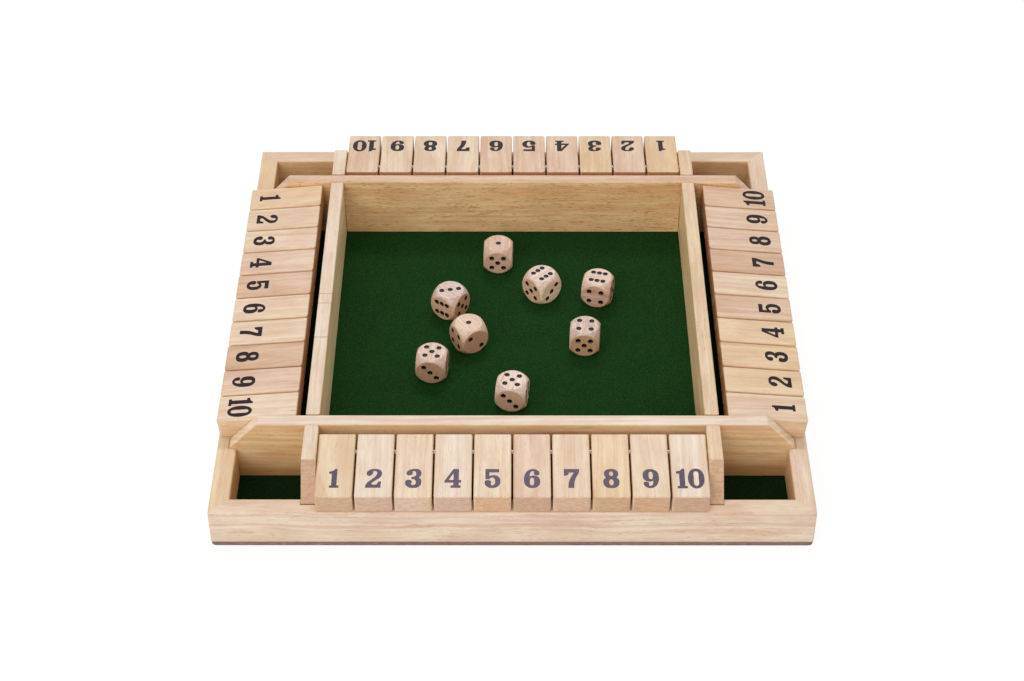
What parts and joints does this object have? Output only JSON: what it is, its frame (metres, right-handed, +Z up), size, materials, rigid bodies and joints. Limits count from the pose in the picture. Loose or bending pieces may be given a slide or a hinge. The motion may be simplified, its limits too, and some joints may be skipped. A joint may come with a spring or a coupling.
{
  "type": "shut the box game",
  "caption": "Square wooden dice tray with a green felt floor, a bank of hinged number tiles on each side, corner wells and loose wooden dice.",
  "frame": {"origin": "centre of the underside of the base board", "axes": "+Z up out of the tray, -Y towards the front bank of tiles, +X to the front player's right"},
  "size_m": [0.3002, 0.3002, 0.0395],
  "materials": {
    "rail_wood": "satin lacquer on pale rubberwood",
    "wall_wood": "satin lacquer on pale rubberwood",
    "tile_wood": "satin lacquer on pale rubberwood",
    "dice_wood": "smooth sanded wood",
    "board": "bare hardboard edge",
    "felt": "short green felt",
    "steel": "drawn rod"
  },
  "bodies": {
    "tray": {"front_rail": "rail_wood", "right_rail": "rail_wood", "back_rail": "rail_wood", "left_rail": "rail_wood", "front_wall": "wall_wood", "right_wall": "wall_wood", "back_wall": "wall_wood", "left_wall": "wall_wood", "base_board": "board", "felt_sheet": "felt", "hinge_rods": "steel"},
    "front_tile_1": {"front_tile_1": "tile_wood"},
    "front_tile_2": {"front_tile_2": "tile_wood"},
    "front_tile_3": {"front_tile_3": "tile_wood"},
    "front_tile_4": {"front_tile_4": "tile_wood"},
    "front_tile_5": {"front_tile_5": "tile_wood"},
    "front_tile_6": {"front_tile_6": "tile_wood"},
    "front_tile_7": {"front_tile_7": "tile_wood"},
    "front_tile_8": {"front_tile_8": "tile_wood"},
    "front_tile_9": {"front_tile_9": "tile_wood"},
    "front_tile_10": {"front_tile_10": "tile_wood"},
    "right_tile_1": {"right_tile_1": "tile_wood"},
    "right_tile_2": {"right_tile_2": "tile_wood"},
    "right_tile_3": {"right_tile_3": "tile_wood"},
    "right_tile_4": {"right_tile_4": "tile_wood"},
    "right_tile_5": {"right_tile_5": "tile_wood"},
    "right_tile_6": {"right_tile_6": "tile_wood"},
    "right_tile_7": {"right_tile_7": "tile_wood"},
    "right_tile_8": {"right_tile_8": "tile_wood"},
    "right_tile_9": {"right_tile_9": "tile_wood"},
    "right_tile_10": {"right_tile_10": "tile_wood"},
    "back_tile_1": {"back_tile_1": "tile_wood"},
    "back_tile_2": {"back_tile_2": "tile_wood"},
    "back_tile_3": {"back_tile_3": "tile_wood"},
    "back_tile_4": {"back_tile_4": "tile_wood"},
    "back_tile_5": {"back_tile_5": "tile_wood"},
    "back_tile_6": {"back_tile_6": "tile_wood"},
    "back_tile_7": {"back_tile_7": "tile_wood"},
    "back_tile_8": {"back_tile_8": "tile_wood"},
    "back_tile_9": {"back_tile_9": "tile_wood"},
    "back_tile_10": {"back_tile_10": "tile_wood"},
    "left_tile_1": {"left_tile_1": "tile_wood"},
    "left_tile_2": {"left_tile_2": "tile_wood"},
    "left_tile_3": {"left_tile_3": "tile_wood"},
    "left_tile_4": {"left_tile_4": "tile_wood"},
    "left_tile_5": {"left_tile_5": "tile_wood"},
    "left_tile_6": {"left_tile_6": "tile_wood"},
    "left_tile_7": {"left_tile_7": "tile_wood"},
    "left_tile_8": {"left_tile_8": "tile_wood"},
    "left_tile_9": {"left_tile_9": "tile_wood"},
    "left_tile_10": {"left_tile_10": "tile_wood"},
    "die_1": {"die_1": "dice_wood"},
    "die_2": {"die_2": "dice_wood"},
    "die_3": {"die_3": "dice_wood"},
    "die_4": {"die_4": "dice_wood"},
    "die_5": {"die_5": "dice_wood"},
    "die_6": {"die_6": "dice_wood"},
    "die_7": {"die_7": "dice_wood"},
    "die_8": {"die_8": "dice_wood"}
  },
  "joints": [
    {"name": "front_tile_1_hinge", "type": "hinge", "parent": "tray", "child": "front_tile_1", "pos_m": [-0.08753, -0.1187, 0.034], "axis": [-1, 0, 0], "range_deg": [0, 133]},
    {"name": "right_tile_1_hinge", "type": "hinge", "parent": "tray", "child": "right_tile_1", "pos_m": [0.1187, -0.08753, 0.034], "axis": [0, -1, 0], "range_deg": [0, 133]},
    {"name": "back_tile_1_hinge", "type": "hinge", "parent": "tray", "child": "back_tile_1", "pos_m": [0.08753, 0.1187, 0.034], "axis": [1, 0, 0], "range_deg": [0, 133]},
    {"name": "left_tile_1_hinge", "type": "hinge", "parent": "tray", "child": "left_tile_1", "pos_m": [-0.1187, 0.08753, 0.034], "axis": [0, 1, 0], "range_deg": [0, 133]},
    {"name": "front_tile_10_hinge", "type": "hinge", "parent": "tray", "child": "front_tile_10", "pos_m": [0.08753, -0.1187, 0.034], "axis": [-1, 0, 0], "range_deg": [0, 152.5]},
    {"name": "right_tile_10_hinge", "type": "hinge", "parent": "tray", "child": "right_tile_10", "pos_m": [0.1187, 0.08753, 0.034], "axis": [0, -1, 0], "range_deg": [0, 152.5]},
    {"name": "back_tile_10_hinge", "type": "hinge", "parent": "tray", "child": "back_tile_10", "pos_m": [-0.08753, 0.1187, 0.034], "axis": [1, 0, 0], "range_deg": [0, 152.5]},
    {"name": "left_tile_10_hinge", "type": "hinge", "parent": "tray", "child": "left_tile_10", "pos_m": [-0.1187, -0.08753, 0.034], "axis": [0, 1, 0], "range_deg": [0, 152.5]},
    {"name": "front_tile_5_hinge", "type": "hinge", "parent": "tray", "child": "front_tile_5", "pos_m": [-0.00972, -0.1187, 0.034], "axis": [-1, 0, 0], "range_deg": [0, 152.5]},
    {"name": "right_tile_5_hinge", "type": "hinge", "parent": "tray", "child": "right_tile_5", "pos_m": [0.1187, -0.00972, 0.034], "axis": [0, -1, 0], "range_deg": [0, 152.5]},
    {"name": "back_tile_5_hinge", "type": "hinge", "parent": "tray", "child": "back_tile_5", "pos_m": [0.00972, 0.1187, 0.034], "axis": [1, 0, 0], "range_deg": [0, 152.5]},
    {"name": "left_tile_5_hinge", "type": "hinge", "parent": "tray", "child": "left_tile_5", "pos_m": [-0.1187, 0.00972, 0.034], "axis": [0, 1, 0], "range_deg": [0, 152.5]},
    {"name": "die_1_lift", "type": "slide", "parent": "tray", "child": "die_1", "axis": [0, 0, 1], "range_m": [0, 0.06]},
    {"name": "die_3_lift", "type": "slide", "parent": "tray", "child": "die_3", "axis": [0, 0, 1], "range_m": [0, 0.06]},
    {"name": "front_tile_2_hinge", "type": "hinge", "parent": "tray", "child": "front_tile_2", "pos_m": [-0.06808, -0.1187, 0.034], "axis": [-1, 0, 0], "range_deg": [0, 152.5]},
    {"name": "right_tile_2_hinge", "type": "hinge", "parent": "tray", "child": "right_tile_2", "pos_m": [0.1187, -0.06808, 0.034], "axis": [0, -1, 0], "range_deg": [0, 152.5]},
    {"name": "back_tile_2_hinge", "type": "hinge", "parent": "tray", "child": "back_tile_2", "pos_m": [0.06808, 0.1187, 0.034], "axis": [1, 0, 0], "range_deg": [0, 152.5]},
    {"name": "left_tile_2_hinge", "type": "hinge", "parent": "tray", "child": "left_tile_2", "pos_m": [-0.1187, 0.06808, 0.034], "axis": [0, 1, 0], "range_deg": [0, 152.5]},
    {"name": "front_tile_7_hinge", "type": "hinge", "parent": "tray", "child": "front_tile_7", "pos_m": [0.02918, -0.1187, 0.034], "axis": [-1, 0, 0], "range_deg": [0, 152.5]},
    {"name": "right_tile_7_hinge", "type": "hinge", "parent": "tray", "child": "right_tile_7", "pos_m": [0.1187, 0.02918, 0.034], "axis": [0, -1, 0], "range_deg": [0, 152.5]},
    {"name": "back_tile_7_hinge", "type": "hinge", "parent": "tray", "child": "back_tile_7", "pos_m": [-0.02918, 0.1187, 0.034], "axis": [1, 0, 0], "range_deg": [0, 152.5]},
    {"name": "left_tile_7_hinge", "type": "hinge", "parent": "tray", "child": "left_tile_7", "pos_m": [-0.1187, -0.02918, 0.034], "axis": [0, 1, 0], "range_deg": [0, 152.5]},
    {"name": "die_2_lift", "type": "slide", "parent": "tray", "child": "die_2", "axis": [0, 0, 1], "range_m": [0, 0.06]},
    {"name": "die_4_lift", "type": "slide", "parent": "tray", "child": "die_4", "axis": [0, 0, 1], "range_m": [0, 0.06]},
    {"name": "front_tile_3_hinge", "type": "hinge", "parent": "tray", "child": "front_tile_3", "pos_m": [-0.04863, -0.1187, 0.034], "axis": [-1, 0, 0], "range_deg": [0, 152.5]},
    {"name": "right_tile_3_hinge", "type": "hinge", "parent": "tray", "child": "right_tile_3", "pos_m": [0.1187, -0.04863, 0.034], "axis": [0, -1, 0], "range_deg": [0, 152.5]},
    {"name": "back_tile_3_hinge", "type": "hinge", "parent": "tray", "child": "back_tile_3", "pos_m": [0.04863, 0.1187, 0.034], "axis": [1, 0, 0], "range_deg": [0, 152.5]},
    {"name": "left_tile_3_hinge", "type": "hinge", "parent": "tray", "child": "left_tile_3", "pos_m": [-0.1187, 0.04863, 0.034], "axis": [0, 1, 0], "range_deg": [0, 152.5]},
    {"name": "front_tile_4_hinge", "type": "hinge", "parent": "tray", "child": "front_tile_4", "pos_m": [-0.02918, -0.1187, 0.034], "axis": [-1, 0, 0], "range_deg": [0, 152.5]},
    {"name": "right_tile_4_hinge", "type": "hinge", "parent": "tray", "child": "right_tile_4", "pos_m": [0.1187, -0.02918, 0.034], "axis": [0, -1, 0], "range_deg": [0, 152.5]},
    {"name": "back_tile_4_hinge", "type": "hinge", "parent": "tray", "child": "back_tile_4", "pos_m": [0.02918, 0.1187, 0.034], "axis": [1, 0, 0], "range_deg": [0, 152.5]},
    {"name": "left_tile_4_hinge", "type": "hinge", "parent": "tray", "child": "left_tile_4", "pos_m": [-0.1187, 0.02918, 0.034], "axis": [0, 1, 0], "range_deg": [0, 152.5]},
    {"name": "front_tile_6_hinge", "type": "hinge", "parent": "tray", "child": "front_tile_6", "pos_m": [0.00972, -0.1187, 0.034], "axis": [-1, 0, 0], "range_deg": [0, 152.5]},
    {"name": "right_tile_6_hinge", "type": "hinge", "parent": "tray", "child": "right_tile_6", "pos_m": [0.1187, 0.00972, 0.034], "axis": [0, -1, 0], "range_deg": [0, 152.5]},
    {"name": "back_tile_6_hinge", "type": "hinge", "parent": "tray", "child": "back_tile_6", "pos_m": [-0.00972, 0.1187, 0.034], "axis": [1, 0, 0], "range_deg": [0, 152.5]},
    {"name": "left_tile_6_hinge", "type": "hinge", "parent": "tray", "child": "left_tile_6", "pos_m": [-0.1187, -0.00972, 0.034], "axis": [0, 1, 0], "range_deg": [0, 152.5]},
    {"name": "front_tile_8_hinge", "type": "hinge", "parent": "tray", "child": "front_tile_8", "pos_m": [0.04863, -0.1187, 0.034], "axis": [-1, 0, 0], "range_deg": [0, 152.5]},
    {"name": "right_tile_8_hinge", "type": "hinge", "parent": "tray", "child": "right_tile_8", "pos_m": [0.1187, 0.04863, 0.034], "axis": [0, -1, 0], "range_deg": [0, 152.5]},
    {"name": "back_tile_8_hinge", "type": "hinge", "parent": "tray", "child": "back_tile_8", "pos_m": [-0.04863, 0.1187, 0.034], "axis": [1, 0, 0], "range_deg": [0, 152.5]},
    {"name": "left_tile_8_hinge", "type": "hinge", "parent": "tray", "child": "left_tile_8", "pos_m": [-0.1187, -0.04863, 0.034], "axis": [0, 1, 0], "range_deg": [0, 152.5]},
    {"name": "front_tile_9_hinge", "type": "hinge", "parent": "tray", "child": "front_tile_9", "pos_m": [0.06808, -0.1187, 0.034], "axis": [-1, 0, 0], "range_deg": [0, 152.5]},
    {"name": "right_tile_9_hinge", "type": "hinge", "parent": "tray", "child": "right_tile_9", "pos_m": [0.1187, 0.06808, 0.034], "axis": [0, -1, 0], "range_deg": [0, 152.5]},
    {"name": "back_tile_9_hinge", "type": "hinge", "parent": "tray", "child": "back_tile_9", "pos_m": [-0.06808, 0.1187, 0.034], "axis": [1, 0, 0], "range_deg": [0, 152.5]},
    {"name": "left_tile_9_hinge", "type": "hinge", "parent": "tray", "child": "left_tile_9", "pos_m": [-0.1187, -0.06808, 0.034], "axis": [0, 1, 0], "range_deg": [0, 152.5]},
    {"name": "die_5_lift", "type": "slide", "parent": "tray", "child": "die_5", "axis": [0, 0, 1], "range_m": [0, 0.06]},
    {"name": "die_6_lift", "type": "slide", "parent": "tray", "child": "die_6", "axis": [0, 0, 1], "range_m": [0, 0.06]},
    {"name": "die_7_lift", "type": "slide", "parent": "tray", "child": "die_7", "axis": [0, 0, 1], "range_m": [0, 0.06]},
    {"name": "die_8_lift", "type": "slide", "parent": "tray", "child": "die_8", "axis": [0, 0, 1], "range_m": [0, 0.06]}
  ]
}
